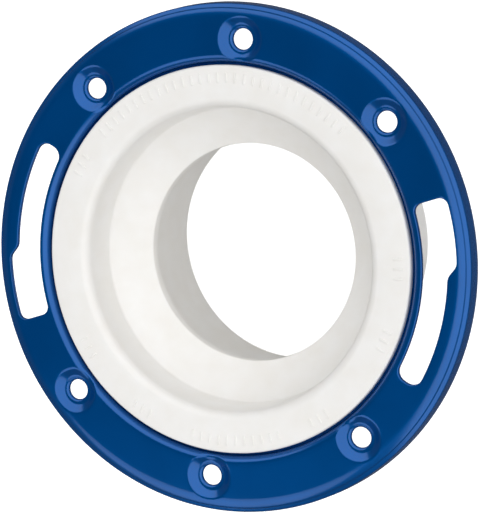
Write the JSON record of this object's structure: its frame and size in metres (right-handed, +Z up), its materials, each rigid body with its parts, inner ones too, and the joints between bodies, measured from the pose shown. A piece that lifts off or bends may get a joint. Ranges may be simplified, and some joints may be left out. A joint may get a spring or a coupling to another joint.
{
  "type": "toilet flange",
  "caption": "Toilet flange with a moulded drain hub and a pressed steel floor ring that swivels to line up its closet bolt slots.",
  "frame": {"origin": "on the pipe axis, in the floor plane that the steel ring's skirt stands on, at the centre of the closet bolt circle", "axes": "+Z up along the pipe axis, out of the floor towards the toilet; +X through the middle of one closet bolt slot with the ring at rest"},
  "size_m": [0.1778, 0.1778, 0.068],
  "materials": {
    "blue_enamel": "gloss deep blue baked enamel on pressed steel",
    "white_pvc": "satin injection-moulded off-white PVC"
  },
  "bodies": {
    "hub": {"hub": "white_pvc"},
    "ring": {"steel_ring": "blue_enamel"}
  },
  "joints": [
    {"name": "ring_swivel", "type": "hinge", "parent": "hub", "child": "ring", "pos_m": [0, 0, 0.0035], "axis": [0, 0, 1], "continuous": true}
  ]
}
